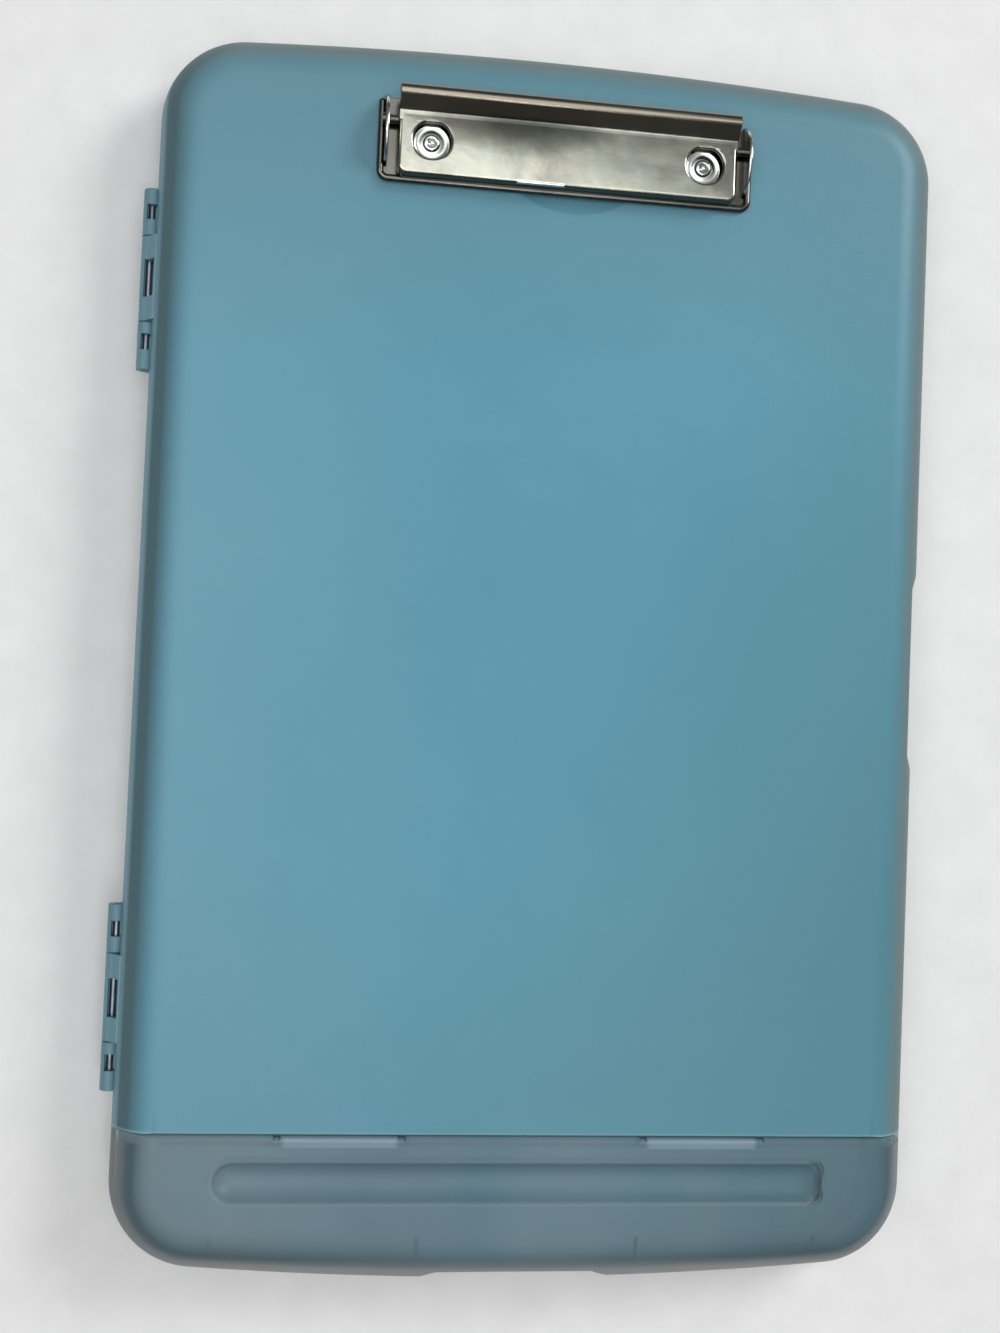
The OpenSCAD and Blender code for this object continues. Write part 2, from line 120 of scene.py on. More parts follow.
def boolean(a, b, operation):
    mod = a.modifiers.new("cut", "BOOLEAN")
    mod.operation = operation
    mod.object = b
    mod.solver = "MANIFOLD"
    depsgraph = bpy.context.evaluated_depsgraph_get()
    me = bpy.data.meshes.new_from_object(a.evaluated_get(depsgraph))
    if len(me.polygons) == 0 and operation != "INTERSECT":
        mod.solver = "EXACT"
        bpy.data.meshes.remove(me)
        depsgraph = bpy.context.evaluated_depsgraph_get()
        me = bpy.data.meshes.new_from_object(a.evaluated_get(depsgraph))
    a.modifiers.clear()
    old = a.data
    a.data = me
    bpy.data.meshes.remove(old)
    gone = b.data
    bpy.data.objects.remove(b)
    bpy.data.meshes.remove(gone)
    return a


def add(a, *others):
    for b in others:
        boolean(a, b, "UNION")
    return a


def cut(a, *others):
    for b in others:
        boolean(a, b, "DIFFERENCE")
    return a


def keep(a, b):
    return boolean(a, b, "INTERSECT")


def join(name, obs):
    """Puts several meshes into one object as loose parts."""
    bm = bmesh.new()
    for o in obs:
        bm.from_mesh(o.data)
    me = bpy.data.meshes.new(name)
    bm.to_mesh(me)
    bm.free()
    for o in obs:
        d = o.data
        bpy.data.objects.remove(o)
        bpy.data.meshes.remove(d)
    ob = bpy.data.objects.new(name, me)
    scene.collection.objects.link(ob)
    return ob


def finish_mesh(ob, name, angle=24.0):
    """Metres, smooth shading that keeps the sharp edges, and area-weighted normals."""
    ob.name = name
    ob.data.name = name
    me = ob.data
    bm = bmesh.new()
    bm.from_mesh(me)
    bmesh.ops.remove_doubles(bm, verts=bm.verts, dist=1e-4)
    bmesh.ops.dissolve_degenerate(bm, edges=bm.edges, dist=1e-4)
    bm.to_mesh(me)
    bm.free()
    me.transform(Matrix.Scale(0.001, 4))
    me.shade_smooth()
    me.set_sharp_from_angle(angle=math.radians(angle))
    mod = ob.modifiers.new("weighted", "WEIGHTED_NORMAL")
    mod.keep_sharp = True
    mod.weight = 80
    mod.mode = "FACE_AREA"
    depsgraph = bpy.context.evaluated_depsgraph_get()
    made = bpy.data.meshes.new_from_object(ob.evaluated_get(depsgraph))
    ob.modifiers.clear()
    old = ob.data
    ob.data = made
    made.name = name
    bpy.data.meshes.remove(old)
    return ob


# ======================================================================
# Measures of the case, as in the CAD model
# ======================================================================
HW, HL, T, WALL = 120.0, 185.0, 28.0, 2.2
RC, RT, RB = 26.0, 14.0, 8.0
SPLIT, GAP = 14.0, 0.1


def bow_radius(half, s):
    return (half * half + s * s) / (2 * s)


R_CLIP, R_PEN = bow_radius(HW, 4.8), bow_radius(HW, 5.8)
SEAM = -HL + 45.0
COVER_Y, LID_Y = SEAM + 0.2, SEAM - 0.2
HINGE_X, BARREL = -HW - 1.4, 2.59
HINGE_LEN, KN_A, KN_GAP = 54.2, 14.1, 0.25
HINGES = {"upper": 108.4, "lower": -103.6}
PIN_R = 1.0
ROLL = 1.75
AX_Y, AX_Z = LID_Y - ROLL, T - ROLL
LID_BX, LID_BL = 54.0, 34.0
EAR_T, EAR_GAP, EAR_R = 1.7, 0.2, 1.15
CLIP_X, CLIP_Z = 0.9, T
ROD_Y, ROD_Z, ROD_R = 157.2, T + 3.3, 1.25
RIVET_Y, RIVET_P = 151.0, 82.4


def outline(corner=44, bow=56, side=40):
    """The case's plan: points and outward normals, anticlockwise from the lower right."""
    pts, nrm = [], []
    xc = HW - RC

    def tangent(R):
        a = math.asin(xc / (R - RC))
        return a, HL - R + (R - RC) * math.cos(a)

    ac, yc = tangent(R_CLIP)
    ap, yp = tangent(R_PEN)
    for i in range(side):
        t = i / side
        pts.append((HW, -yp + (yc + yp) * t)); nrm.append((1, 0))

    def arc(cx, cy, r, a0, a1, n):
        for i in range(n):
            a = a0 + (a1 - a0) * i / n
            pts.append((cx + r * math.cos(a), cy + r * math.sin(a))); nrm.append((math.cos(a), math.sin(a)))

    q = math.pi / 2
    inn = 0.07
    arc(xc, yc, RC, 0, q - ac, corner)
    arc(0, HL - R_CLIP, R_CLIP, q - ac, q + ac, bow)
    arc(-xc, yc, RC, q + ac, 2 * q, corner)
    for i in range(side):
        t = i / side
        pts.append((-HW, yc - (yc + yp) * t)); nrm.append((-1, 0))
    arc(-xc, -yp + inn, RC, 2 * q, 3 * q - ap, corner)
    arc(0, -HL + R_PEN + inn, R_PEN, 3 * q - ap, 3 * q + ap, bow)
    arc(xc, -yp + inn, RC, 3 * q + ap, 4 * q, corner)
    return np.array(pts), np.array(nrm)


OUT_P, OUT_N = outline()


def slab(d, z, h, rt, rb, nt=26, nb=14):
    """The case's outline as a rounded slab drawn in by d, from height z up by h."""
    section = []
    if rb > 0:
        for i in range(nb + 1):
            a = math.pi / 2 * i / nb
            section.append((rb * (1 - math.sin(a)), rb * (1 - math.cos(a))))
    else:
        section.append((0.0, 0.0))
    if rt > 0:
        for i in range(nt + 1):
            a = math.pi / 2 * i / nt
            section.append((rt * (1 - math.cos(a)), h - rt + rt * math.sin(a)))
    else:
        section.append((0.0, h))
    rings = []
    for inset, dz in section:
        xy = OUT_P - OUT_N * (d + inset)
        rings.append(np.column_stack([xy, np.full(len(xy), z + dz)]))
    return loft("slab", rings)


def outside():
    return slab(0, 0, T, RT, RB)


def inside():
    return slab(WALL, WALL, T - 2 * WALL, RT - WALL, RB - WALL)


def knuckle(y1, y2, s):
    body = rod("y", y1, y2, HINGE_X, SPLIT, BARREL, 56, soft=0.25)
    web = prism([(HINGE_X - 1.0, SPLIT + s * (BARREL - 0.7)), (-HW + 0.4, SPLIT + s * (BARREL + 2.6)),
                 (-HW + 1.2, SPLIT + s * (BARREL + 2.6)), (-HW + 1.2, SPLIT + s * GAP), (HINGE_X, SPLIT + s * GAP)], "y", y1 + 0.12, y2 - 0.12)
    return add(body, web)


def hinge_windows(yc):
    return [span((HINGE_X - 1.3, yc + a - w / 2, SPLIT), (-HW + 0.35, yc + a + w / 2, SPLIT + 6)) for a, w in ((20.0, 4.6), (0, 11.2), (-18.9, 4.8))]


def edge_relief(a, b, d, ramp):
    k = 3 * ramp / d
    return prism([(HW + 3, a - k), (HW - d, a + ramp), (HW - d, b - ramp), (HW + 3, b + k)], "z", -20, 60)


def turned(ob, pivot, angle, axis):
    """Turns a mesh by degrees about an axis through pivot."""
    m = Matrix.Translation(pivot) @ Matrix.Rotation(math.radians(angle), 4, axis) @ Matrix.Translation(-Vector(pivot))
    ob.data.transform(m)
    return ob


def ear_spots():
    return [s * LID_BX + e * (LID_BL / 2 + EAR_GAP + EAR_T / 2) for s in (-1, 1) for e in (-1, 1)]


# ======================================================================
# Base tray
# ======================================================================
def build_tray():
    well = keep(outside(), span((-150, COVER_Y, -1), (150, 200, SPLIT - GAP)))
    cut(well, keep(inside(), span((-150, COVER_Y + WALL, 0), (150, 200, 30))))
    pens = keep(slab(4.2, 0, 19, 0, 5), span((-150, -200, -1), (150, COVER_Y + 0.6, 30)))
    cut(pens, keep(slab(6.0, WALL, 19, 0, 3.2), span((-150, -200, 0), (150, COVER_Y, 40))))
    add(well, pens)
    add(well, keep(slab(WALL + 0.5, 1, T - WALL - 1.4, RT - WALL - 0.4, 0), span((-150, COVER_Y, 1.5), (150, COVER_Y + 2, 30))))
    for y in (132, 60, 0, -60):
        for m in (-1, 1):
            xa, xb, xd = m * (HW - WALL - 1.7), m * (HW - WALL - 0.4), m * (HW - WALL + 0.3)
            add(well, span((min(xa, xb), y - 14, SPLIT - 5.4), (max(xa, xb), y + 14, SPLIT + 2.6)))
            add(well, span((min(xa, xd), y - 14, SPLIT - 5.4), (max(xa, xd), y + 14, SPLIT - 0.5)))
    for x in (-62, 0, 62):
        a = math.asin(x / R_CLIP)
        yb = HL - R_CLIP + math.sqrt(R_CLIP ** 2 - x * x)
        turn = Matrix.Translation((x, yb, 0)) @ Matrix.Rotation(-a, 4, "Z")
        for lo, hi in (((-15, -WALL - 1.8, SPLIT - 5.4), (15, -WALL - 0.5, SPLIT + 2.6)), ((-15, -WALL - 1.8, SPLIT - 5.4), (15, -WALL + 0.3, SPLIT - 0.5))):
            t = span(lo, hi)
            t.data.transform(turn)
            add(well, t)
    for yc in HINGES.values():
        for m in (-1, 1):
            mid = yc + m * (HINGE_LEN - KN_A) / 2
            add(well, knuckle(mid - KN_A / 2, mid + KN_A / 2, -1))
    for x in ear_spots():
        add(well, rod("x", x - EAR_T / 2, x + EAR_T / 2, AX_Y, AX_Z, EAR_R, 48))
        add(well, prism([(AX_Y - EAR_R, AX_Z), (AX_Y + 0.9, AX_Z - 0.3), (COVER_Y + 0.5, 24.9), (COVER_Y + 0.5, 16), (COVER_Y, 16), (AX_Y - EAR_R, 22.5)], "x", x - EAR_T / 2, x + EAR_T / 2))
    for x in (-17.7, 18.4):
        add(well, span((x - 0.6, COVER_Y - 2.5, 1.5), (x + 0.6, COVER_Y + 0.5, 24.1)))
    for yc in HINGES.values():
        cut(well, rod("y", yc - HINGE_LEN / 2 + KN_A, yc + HINGE_LEN / 2 - KN_A, HINGE_X, SPLIT, BARREL + 0.3, 56))
        cut(well, *hinge_windows(yc))
        cut(well, rod("y", yc - HINGE_LEN / 2 - 1, yc + HINGE_LEN / 2 + 1, HINGE_X, SPLIT, PIN_R, 40))
    for s in (-1, 1):
        cut(well, rod("x", s * LID_BX - LID_BL / 2 - 3, s * LID_BX + LID_BL / 2 + 3, AX_Y, AX_Z, 0.8, 40))
    cut(well, edge_relief(-28.3, 32.8, 1.1, 3.8))
    return finish_mesh(well, "tray_shell")


# ======================================================================
# Cover
# ======================================================================
def build_cover():
    edge = COVER_Y - 0.14
    body = keep(outside(), span((-150, edge, SPLIT + GAP), (150, 200, 40)))
    cut(body, inside())
    for yc in HINGES.values():
        for m in (-1, 1):
            mid = yc + m * (HINGE_LEN - KN_A) / 2
            cut(body, rod("y", mid - KN_A / 2 - 0.3, mid + KN_A / 2 + 0.3, HINGE_X, SPLIT, BARREL + 0.3, 56))
        add(body, knuckle(yc - HINGE_LEN / 2 + KN_A + KN_GAP, yc + HINGE_LEN / 2 - KN_A - KN_GAP, 1))
    add(body, span((-104, COVER_Y + 4.5, T - WALL - 3), (104, COVER_Y + 6, T - WALL + 0.5)))
    for x in (-104, 102.5):
        add(body, span((x, COVER_Y + 4.5, T - WALL - 3), (x + 1.5, 168, T - WALL + 0.5)))
    add(body, span((HW - WALL - 3.2, -8, SPLIT - 1.5), (HW - WALL - 1.9, 12, T - WALL - 2.5)))
    add(body, span((HW - WALL - 3.2, -8, SPLIT + 3.6), (HW - WALL + 0.4, -6.6, SPLIT + 6)))
    add(body, span((HW - WALL - 3.2, 10.6, SPLIT + 3.6), (HW - WALL + 0.4, 12, SPLIT + 6)))
    # softened edge along the seam
    r = 0.6
    corner = [(edge - 1, T - r), (edge, T - r)] + [(edge + r - r * math.cos(a), T - r + r * math.sin(a)) for a in [math.pi / 2 * i / 8 for i in range(1, 9)]] + [(edge + r, T + 1), (edge - 1, T + 1)]
    cut(body, prism(corner, "x", -150, 150))
    for yc in HINGES.values():
        cut(body, *hinge_windows(yc))
        cut(body, rod("y", yc - HINGE_LEN / 2 - 1, yc + HINGE_LEN / 2 + 1, HINGE_X, SPLIT, PIN_R + 0.05, 40))
    # round dish under the clip's jaw, with a soft rim
    rim = [(22 + 8 * i / 16, -0.9 + 0.9 * (i / 16) ** 3.2) for i in range(17)]
    dish = lathe([(0.01, -0.9)] + rim + [(30, 1), (0.01, 1)], (3.5, 164.4, T), 200)
    cut(body, keep(dish, span((-40, 130, T - 2), (40, 152, T + 2))))
    for s in (-1, 1):
        cut(body, rod("z", T - WALL - 1, T + 4, CLIP_X + s * RIVET_P / 2, RIVET_Y, 1.6, 48))
    cut(body, edge_relief(-28.3, 32.8, 1.1, 3.8))
    cut(body, turned(edge_relief(-28.5, 32.9, 1.0, 4.6), (HW - RT, 0, SPLIT), -23.5, "Y"))
    return finish_mesh(body, "cover_shell")


# ======================================================================
# Pen lid
# ======================================================================
GROOVE_R, GROOVE_D = 6.0, 4.5
GY = AX_Y - 11.9
GX1, GX2 = -90.2, 91.6


def trough(r, zc, extra=0.0):
    """Round-bottomed trough with a round left end, as a lathe swept along X."""
    x1 = GX1 + GROOVE_R - 0.2
    x2 = GX2 + (r - GROOVE_R)
    n = 56
    rings = []
    k = 20
    for i in range(k + 1):
        a = math.pi / 2 * i / k
        q = max(r * math.sin(a), 0.02)
        rings.append([(x1 - r * math.cos(a), GY + u, zc + v) for u, v in circle(0, 0, q, n)])
    e = 2.2 + (r - GROOVE_R)
    rings.append([((x1 + x2) / 2, GY + u, zc + v) for u, v in circle(0, 0, r, n)])
    for i in range(k + 1):
        a = math.pi / 2 * i / k
        q = max(r * math.cos(a) ** 0.5, 0.02)
        rings.append([(x2 - e + e * math.sin(a), GY + u, zc + v) for u, v in circle(0, 0, q, n)])
    return loft("tool", rings)


def groove_lip(radius=0.9):
    """Cuts the groove's rim back to a round lip."""
    zc = T - GROOVE_D + GROOVE_R
    half = math.sqrt(GROOVE_R ** 2 - (zc - T) ** 2)
    x1 = GX1 + GROOVE_R - 0.2

    def plan(grow):
        h = half + grow
        left = circle(x1, GY, h, 40, 90, 270, ends=True)
        right = [(GX2 + grow, GY - h + 1.2)]
        right = circle(GX2 + grow - 1.5, GY - h + 1.5, 1.5, 6, 270, 360, ends=True) + circle(GX2 + grow - 1.5, GY + h - 1.5, 1.5, 6, 0, 90, ends=True)
        return left + right

    rings = []
    for i in range(7):
        a = math.pi / 2 * i / 6
        grow = radius * (1 - math.sin(a)) * 0.9
        z = T - radius * 0.6 * (1 - math.cos(a))
        rings.append([(x, y, z) for x, y in plan(grow)])
    rings.insert(0, [(x, y, T + 1) for x, y in plan(radius * 0.9)])
    rings.append([(x, y, T - radius * 0.6 - 0.15) for x, y in plan(-0.35)])
    return loft("tool", rings)


def build_lid():
    zc = T - GROOVE_D + GROOVE_R
    body = keep(outside(), span((-150, -200, 5), (150, LID_Y, 40)))
    cut(body, inside())
    add(body, rod("x", -105.5, 105.5, AX_Y, AX_Z, ROLL, 56))
    add(body, keep(trough(GROOVE_R + 1.9, zc), span((-110, -180, 15), (110, LID_Y - 2, T - 1))))
    add(body, span((-28.5, -HL + WALL - 0.6, 5.5), (31, -HL + WALL + 1, 19.4)))
    shoulder = (0, -HL + RT, SPLIT)
    add(body, turned(span((-27, -HL + 1.8, SPLIT - 3), (28, -HL + 2.8, SPLIT + 5.5)), shoulder, -20, "X"))
    for x in (-90, -30.4, 35.2, 90):
        add(body, keep(slab(WALL - 0.4, 6, T - WALL - 5.6, RT - WALL, 0), span((x - 0.6, -HL + 3, 20.5), (x + 0.6, -HL + 15, 27))))
    k = 12
    rear = [(AX_Y, AX_Z + ROLL)] + [(AX_Y + ROLL * math.sin(a), AX_Z + ROLL * math.cos(a)) for a in [math.pi / 2 * i / k for i in range(1, k + 1)]] + [(AX_Y + 5, AX_Z), (AX_Y + 5, T + 1), (AX_Y, T + 1)]
    cut(body, prism(rear, "x", -150, 150))
    for x in ear_spots():
        w = EAR_T / 2 + EAR_GAP
        cut(body, rod("x", x - w, x + w, AX_Y, AX_Z, EAR_R + 0.15, 48))
        room = [(0, 0), (1.05, 5), (5, 5), (5, -7), (-EAR_R - 0.25, -7), (-EAR_R - 0.25, 0)]
        cut(body, prism([(AX_Y + a, AX_Z + b) for a, b in room], "x", x - w, x + w))
    for s in (-1, 1):
        cut(body, rod("x", s * LID_BX - LID_BL / 2 - 1, s * LID_BX + LID_BL / 2 + 1, AX_Y, AX_Z, 0.85, 40))
    cut(body, trough(GROOVE_R, zc))
    cut(body, groove_lip())
    cut(body, prism([(-29.6, -HL - 3), (-22.1, -HL + 2), (23.9, -HL + 2), (31.9, -HL - 3)], "z", -20, 60))
    cut(body, turned(prism([(-41.1, -HL - 3), (-24, -HL + 1.5), (23.7, -HL + 1.5), (42.9, -HL - 3)], "z", -20, 48), shoulder, -20, "X"))
    return finish_mesh(body, "lid_shell")


# ======================================================================
# Clip
# ======================================================================
SEAT_Z, BASE_Y2 = 3.1, 164.6
JAW_HW, JAW_TOP = 51.2, T + 6.4


def plan_ring(x, y0, y1, r_front, r_rear, inset, z, n=10):
    """One ring of a rounded rectangle, drawn in by inset."""
    def corner(cx, cy, r, a0):
        r = max(r - inset, 0.02)
        return [(cx + r * math.cos(math.radians(a0 + 90 * i / n)), cy + r * math.sin(math.radians(a0 + 90 * i / n)), z) for i in range(n + 1)]
    rf, rr = max(r_front, inset), max(r_rear, inset)
    return (corner(x - rf, y0 + rf, rf, 270) + corner(x - rr, y1 - rr, rr, 0) + corner(-x + rr, y1 - rr, rr, 90) + corner(-x + rf, y0 + rf, rf, 180))


def shift_x(ob, dx):
    ob.data.transform(Matrix.Translation((dx, 0, 0)))
    return ob


def ear_plate(s):
    """Arched ear of the clip base with a rounded edge."""
    cz, r = T - 1.9, 11.2
    y, t = 154.6, 1.0
    a0 = math.asin((T + 0.4 - cz) / r)
    xs = [(0.0, 0.34), (0.10, 0.12), (0.30, 0.0), (0.70, 0.0), (0.90, 0.12), (1.0, 0.34)]
    rings = []
    for dx, d in xs:
        pts = [(y + (r - d) * math.cos(a0 + (math.pi - 2 * a0) * i / 60), cz + (r - d) * math.sin(a0 + (math.pi - 2 * a0) * i / 60)) for i in range(61)]
        rings.append([(s * 54.6 - 0.5 + dx * t, a, b) for a, b in pts])
    ear = loft("tool", rings)
    return cut(ear, rod("x", s * 54.6 - 2, s * 54.6 + 2, ROD_Y, ROD_Z, ROD_R, 40))


def tube(path, r, n=20):
    """A round bar along a path in one plane, z constant, with half-ball ends."""
    pts = [Vector(p) for p in path]
    tang = [(pts[min(i + 1, len(pts) - 1)] - pts[max(i - 1, 0)]).normalized() for i in range(len(pts))]
    rings = []
    def ring(p, t, q):
        side = Vector((-t.y, t.x, 0))
        return [tuple(p + side * (q * math.cos(2 * math.pi * k / n)) + Vector((0, 0, q * math.sin(2 * math.pi * k / n)))) for k in range(n)]
    for i in range(8):
        a = math.pi / 2 * i / 8
        rings.append(ring(pts[0] - tang[0] * (r * math.cos(a)), tang[0], max(r * math.sin(a), 0.02)))
    for p, t in zip(pts, tang):
        rings.append(ring(p, t, r))
    for i in range(1, 9):
        a = math.pi / 2 * i / 8
        rings.append(ring(pts[-1] + tang[-1] * (r * math.sin(a)), tang[-1], max(r * math.cos(a), 0.02)))
    return loft("tool", rings)


def build_clip_base():
    hw = 57.0
    parts = []
    rings = [plan_ring(hw - 0.6, 139.9, BASE_Y2, 3.0, 1.2, i, z) for i, z in ((0.25, T), (0.0, T + 0.2), (0.0, T + 0.6), (0.2, T + 0.8))]
    sheet = loft("sheet", rings)
    for s in (-1, 1):
        cut(sheet, rod("z", T - 1, T + 4, s * RIVET_P / 2, RIVET_Y, 4.0, 72))
    parts.append(sheet)
    r, c, x, y1, z = 1.05, 2.35, hw - 1.05, 139.4 + 1.05, T + 1.05
    path = [(-x, BASE_Y2 - 1.6, z), (-x, BASE_Y2 - 4, z)]
    path += [(-x + c - c * math.cos(a), y1 + c - c * math.sin(a), z) for a in [math.pi / 2 * i / 12 for i in range(13)]]
    path += [(x - c + c * math.sin(a), y1 + c - c * math.cos(a), z) for a in [math.pi / 2 * i / 12 for i in range(13)]]
    path += [(x, BASE_Y2 - 4, z), (x, BASE_Y2 - 1.6, z)]
    parts.append(tube(path, r))
    for s in (-1, 1):
        parts.append(ear_plate(s))
        q = SEAT_Z
        seat = [(1.6, q), (2.9, q), (3.15, q - 0.05), (3.5, q - 0.15), (4.0, q - 0.21), (4.5, q - 0.18), (4.9, q - 0.06), (5.1, q + 0.02), (5.3, q + 0.04), (5.44, q - 0.04), (5.5, q - 0.3),
                (5.55, 1.4), (5.7, 1.0), (5.9, 0.84), (6.1, 0.80), (6.1, 0.1), (5.0, 0.1), (4.9, q - 0.9), (1.6, q - 0.9)]
        parts.append(lathe(seat, (s * RIVET_P / 2, RIVET_Y, T), 96))
    return finish_mesh(shift_x(join("clip_base", parts), CLIP_X), "clip_base", 34)


def strip_outline(centre, half):
    """A sheet's section: its centre line given thickness, as one closed outline."""
    c = np.array(centre, float)
    d = np.gradient(c, axis=0)
    d /= np.linalg.norm(d, axis=1)[:, None]
    n = np.column_stack([-d[:, 1], d[:, 0]])
    left, rightside = c + n * half, c - n * half
    cap = []
    e, u = c[-1], math.atan2(*(n[-1][::-1]))
    for i in range(1, 6):
        a = u - math.pi * i / 6
        cap.append((e[0] + half * math.cos(a), e[1] + half * math.sin(a)))
    start = []
    e, u = c[0], math.atan2(*(-n[0][::-1]))
    for i in range(1, 6):
        a = u - math.pi * i / 6
        start.append((e[0] + half * math.cos(a), e[1] + half * math.sin(a)))
    return [tuple(p) for p in left] + cap + [tuple(p) for p in rightside[::-1]] + start


def build_jaw():
    z, t = JAW_TOP, 0.8
    hw, y0, y1 = JAW_HW, 140.55, 159.2
    rt = 1.25

    def crown(inset):
        q = min(max((inset - rt) / 7.4, 0.0), 1.0)
        return 0.22 * (1 - (1 - q) ** 2)

    # pressed pan with round edges and a slight crown
    rings = [plan_ring(hw, y0, y1, 2.6, 0.9, 0.0, T + 2.15)]
    rings.append(plan_ring(hw, y0, y1, 2.6, 0.9, 0.0, z - rt))
    for i in range(1, 11):
        a = math.pi / 2 * i / 10
        rings.append(plan_ring(hw, y0, y1, 2.6, 0.9, rt * (1 - math.cos(a)), z - rt + rt * math.sin(a)))
    for i in range(1, 11):
        inset = rt + (8.6 - rt) * i / 10
        soft = min(1.4 + 0.9 * (inset - rt), (y1 - y0) / 2 - inset - 0.05)
        rings.append(plan_ring(hw - inset, y0 + inset, y1 - inset, soft, soft, 0.0, z + crown(inset)))
    pan = loft("pan", rings)
    rings = [plan_ring(hw - t, y0 + t, y1 + 3, 1.9, 0.4, 0.0, T + 1.0), plan_ring(hw - t, y0 + t, y1 + 3, 1.9, 0.4, 0.0, z - rt)]
    for i in range(1, 7):
        a = math.pi / 2 * i / 6
        q = rt - t
        rings.append(plan_ring(hw - t, y0 + t, y1 + 3, 1.9, 0.4, q * (1 - math.cos(a)), z - t - q + q * math.sin(a)))
    cut(pan, loft("hollow", rings))
    # side walls are shallower than the front one
    for s in (-1, 1):
        cut(pan, span((min(s * (hw - 3), s * (hw + 1)), 143.6, T), (max(s * (hw - 3), s * (hw + 1)), 162, T + 3.4)))
    # step and rolled thumb edge
    cy, cz, r = 164.0, z + 2.1, 1.7
    line = [(156.6, z - 0.4), (158.2, z - 0.4)]
    slope = math.radians(45.8)
    bend = 1.3
    cx0, cz0 = 158.65, z - 0.4 + bend
    for i in range(1, 9):
        a = slope * i / 8
        line.append((cx0 + bend * math.sin(a), cz0 - bend * math.cos(a)))
    a0 = math.radians(90) + slope
    first = (cy + r * math.cos(a0), cz + r * math.sin(a0))
    last = line[-1]
    for i in range(1, 6):
        line.append((last[0] + (first[0] - last[0]) * i / 6, last[1] + (first[1] - last[1]) * i / 6))
    for i in range(41):
        a = a0 - math.radians(292) * i / 40
        line.append((cy + r * math.cos(a), cz + r * math.sin(a)))
    stations = [(-hw, 0.18), (-hw + 0.08, 0.31), (-hw + 0.22, 0.4), (hw - 0.22, 0.4), (hw - 0.08, 0.31), (hw, 0.18)]
    roll = loft("roll", [[(x, a, b) for a, b in strip_outline(line, h)] for x, h in stations])
    # holes over the rivets, with a drawn lip
    for part in (pan,):
        for s in (-1, 1):
            rr = 5.6
            lip = [(0.02, -3), (rr, -3), (rr, -0.72)] + [(rr + 1.0 - 1.0 * math.cos(a), -0.72 + 0.72 * math.sin(a)) for a in [math.pi / 2 * i / 9 for i in range(1, 10)]] + [(rr + 1.0, 3), (0.02, 3)]
            cut(part, lathe(lip, (s * RIVET_P / 2, RIVET_Y, z + 0.18), 120))
    parts = [pan, roll, tube([(x - CLIP_X, y0 + 0.50, z - 0.46) for x in (-14.4, -12, -8, -4, -0.9)], 0.46, 16)]
    for s in (-1, 1):
        x0 = s * (hw - 1.3)
        lug = rod("x", min(x0 - 0.5, x0 + 0.5), max(x0 - 0.5, x0 + 0.5), ROD_Y, ROD_Z, 2.4, 56, soft=0.15)
        add(lug, span((x0 - 0.5, ROD_Y - 2.4, ROD_Z), (x0 + 0.5, ROD_Y + 2.0, z - 0.3)))
        parts.append(cut(lug, rod("x", x0 - 2, x0 + 2, ROD_Y, ROD_Z, ROD_R + 0.05, 40)))
    return finish_mesh(shift_x(join("clip_jaw_sheet", parts), CLIP_X), "clip_jaw_sheet", 30)


def build_rivet(s, name):
    q = SEAT_Z
    head = [(0.88, q + 0.1)]
    head += [(1.75 + 0.87 * math.cos(a), q + 0.12 + 0.86 * math.sin(a)) for a in [math.pi - math.pi * i / 18 for i in range(19)]]
    head += [(2.62, q), (1.6, q), (1.6, -WALL - 0.8)]
    head += [(2.1 + 0.5 * math.cos(a), -WALL - 0.9 + 0.55 * math.sin(a)) for a in [0 - math.pi * i / 10 for i in range(11)]]
    head += [(0.95, -WALL - 0.7), (0.88, -WALL)]
    outer = lathe(head, (CLIP_X + s * RIVET_P / 2, RIVET_Y, T), 96)
    plug = lathe([(0.02, q - 0.5), (0.5, q - 0.46), (0.92, q - 0.2), (0.92, q - 1.2), (0.02, q - 1.2)], (CLIP_X + s * RIVET_P / 2, RIVET_Y, T), 64)
    return finish_mesh(join(name, [outer, plug]), name, 40)


tray = build_tray()
cover = build_cover()
lid = build_lid()
clip_base = build_clip_base()
clip_jaw = build_jaw()
rivet_l = build_rivet(-1, "rivet_left")
rivet_r = build_rivet(1, "rivet_right")
for piece, node, body, slot in ((tray, "base_tray", "case", "blue_shell"), (cover, "cover", "cover", "blue_shell"), (lid, "pen_lid", "pen_lid", "translucent_lid"),
                                (clip_base, "clip_base_plate", "cover", "plated_clip"), (clip_jaw, "clip_jaw_plate", "clip_jaw", "plated_clip"),
                                (rivet_l, "clip_rivet_left", "cover", "plated_clip"), (rivet_r, "clip_rivet_right", "cover", "plated_clip")):
    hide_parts(node)
    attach(piece, body)
    print("mesh", piece.name, len(piece.data.vertices), len(piece.data.polygons))


# ======================================================================
# Materials
# ======================================================================
def srgb(r, g, b):
    def lin(c):
        c /= 255.0
        return c / 12.92 if c <= 0.04045 else ((c + 0.055) / 1.055) ** 2.4
    return (lin(r), lin(g), lin(b), 1.0)


def material(name):
    m = bpy.data.materials.new(name)
    m.use_nodes = True
    nt = m.node_tree
    bsdf = nt.nodes["Principled BSDF"]
    return m, nt, bsdf


def noise(nt, scale, detail=3.0, rough=0.5, distortion=0.0, coords=None):
    n = nt.nodes.new("ShaderNodeTexNoise")
    n.inputs["Scale"].default_value = scale
    n.inputs["Detail"].default_value = detail
    n.inputs["Roughness"].default_value = rough
    n.inputs["Distortion"].default_value = distortion
    if coords is not None:
        nt.links.new(coords, n.inputs["Vector"])
    return n.outputs["Fac"]


